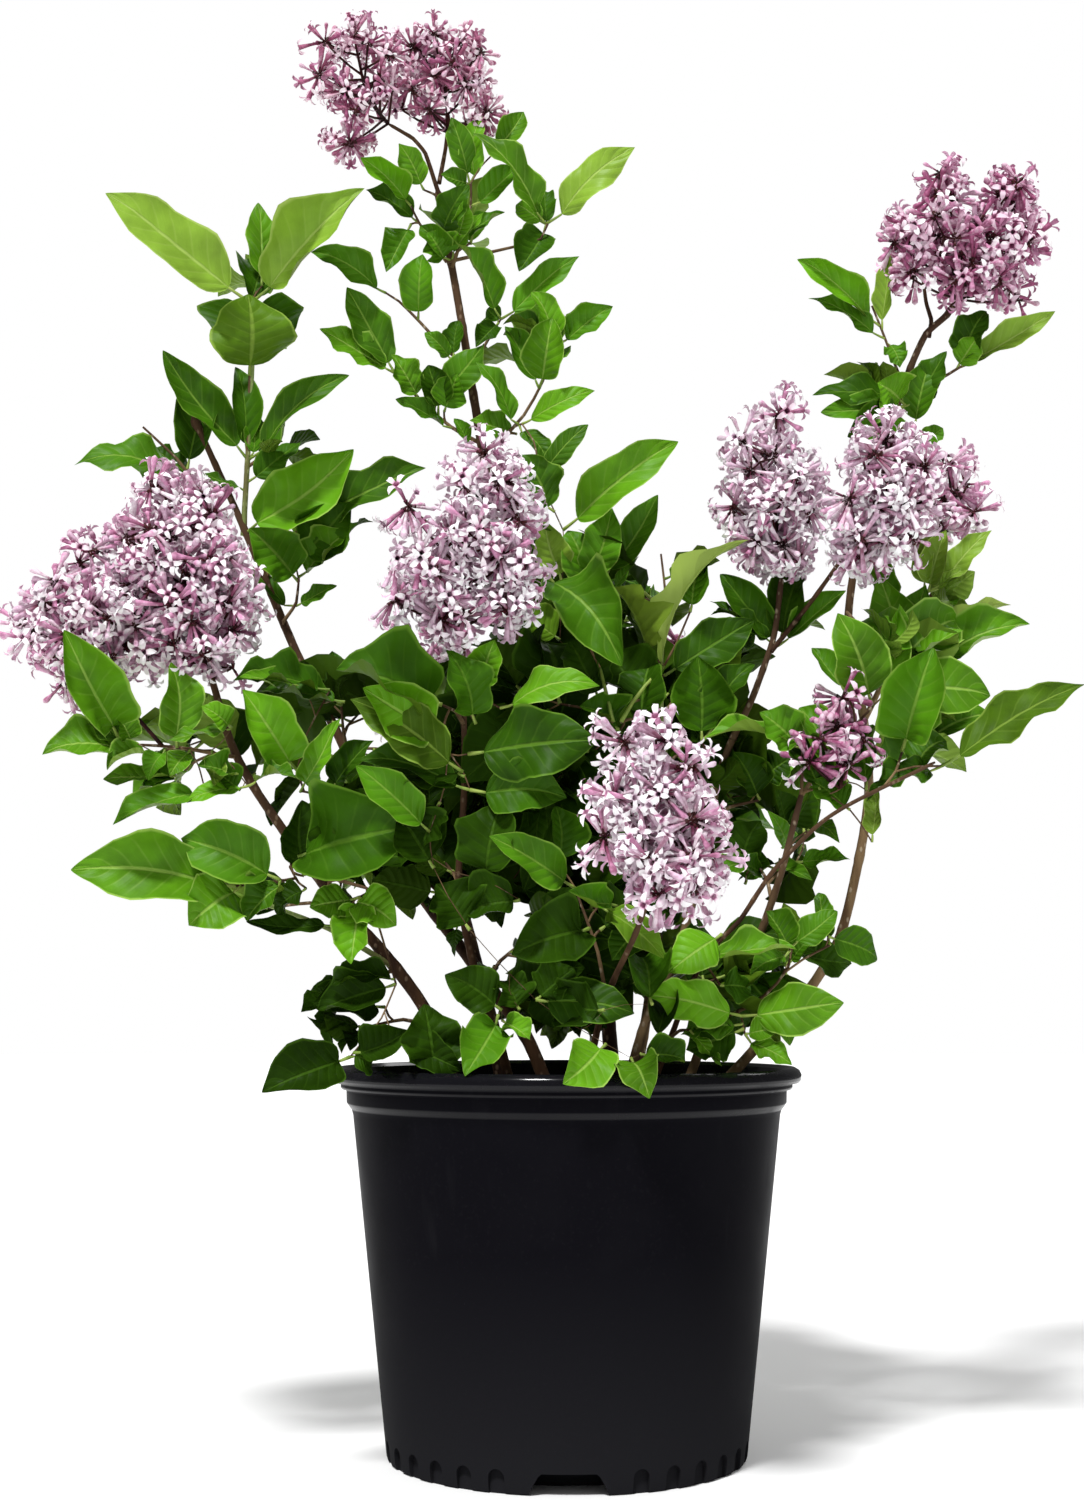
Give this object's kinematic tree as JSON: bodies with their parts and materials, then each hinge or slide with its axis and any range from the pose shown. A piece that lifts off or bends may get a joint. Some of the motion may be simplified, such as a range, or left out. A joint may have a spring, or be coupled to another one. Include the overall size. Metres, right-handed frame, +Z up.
{
  "type": "lilac bush in a nursery pot",
  "caption": "Flowering lilac shrub with woody stems, masses of pointed leaves and upright mauve flower heads, growing in a round black nursery pot.",
  "frame": {"origin": "centre of the pot's flat underside, where it stands", "axes": "+Z up along the plant, -Y towards the front, +X to the right seen from the front"},
  "size_m": [0.6485, 0.4654, 0.92],
  "materials": {
    "black_plastic": "satin",
    "potting_mix": "matte",
    "bark": "matte",
    "green_bark": "satin",
    "foliage": "satin",
    "blossom": "matte"
  },
  "bodies": {
    "root": {"pot": "black_plastic", "soil": "potting_mix", "stem_left": "bark", "stem_back_left": "bark", "stem_tall": "bark", "stem_middle": "bark", "stem_right": "bark", "stem_tall_right": "bark", "stem_far_right": "bark", "stem_front": "bark", "stem_centre": "bark", "stem_rear_left": "bark", "stem_rear_right": "bark", "bough_low_left": "bark", "bough_centre": "bark", "bough_right_bloom": "bark", "bough_far_bloom": "bark", "stalk_top_left": "bark", "stalk_top_right": "bark", "shoot_upper_left": "green_bark", "bloom_top_left": "blossom", "bloom_top_right": "blossom", "bloom_left": "blossom", "bloom_left_outer": "blossom", "bloom_centre": "blossom", "bloom_top_far_right": "blossom", "bloom_right_upper": "blossom", "bloom_right_outer": "blossom", "bloom_far_right": "blossom", "bloom_small_right": "blossom", "bloom_front": "blossom", "bloom_rear_left": "blossom", "bloom_rear_right": "blossom", "leaves_top": "foliage", "leaves_top_left": "foliage", "leaves_top_right": "foliage", "leaves_whorl": "foliage", "leaves_upper_left": "foliage", "leaves_left_centre": "foliage", "leaves_left": "foliage", "leaves_low_left": "foliage", "leaves_centre_high": "foliage", "leaves_heart_left": "foliage", "leaves_heart": "foliage", "leaves_heart_right": "foliage", "leaves_under_blooms": "foliage", "leaves_right": "foliage", "leaves_right_high": "foliage", "leaves_below_top_bloom": "foliage", "leaves_beside_top_bloom": "foliage", "leaves_outside_top_bloom": "foliage", "leaves_low_right": "foliage", "leaves_low_centre": "foliage", "leaves_low_left_rim": "foliage", "leaves_mid_right": "foliage", "leaves_rear_left": "foliage", "leaves_rear_right": "foliage", "leaves_rear_low": "foliage", "leaves_rear_high": "foliage"}
  },
  "joints": []
}
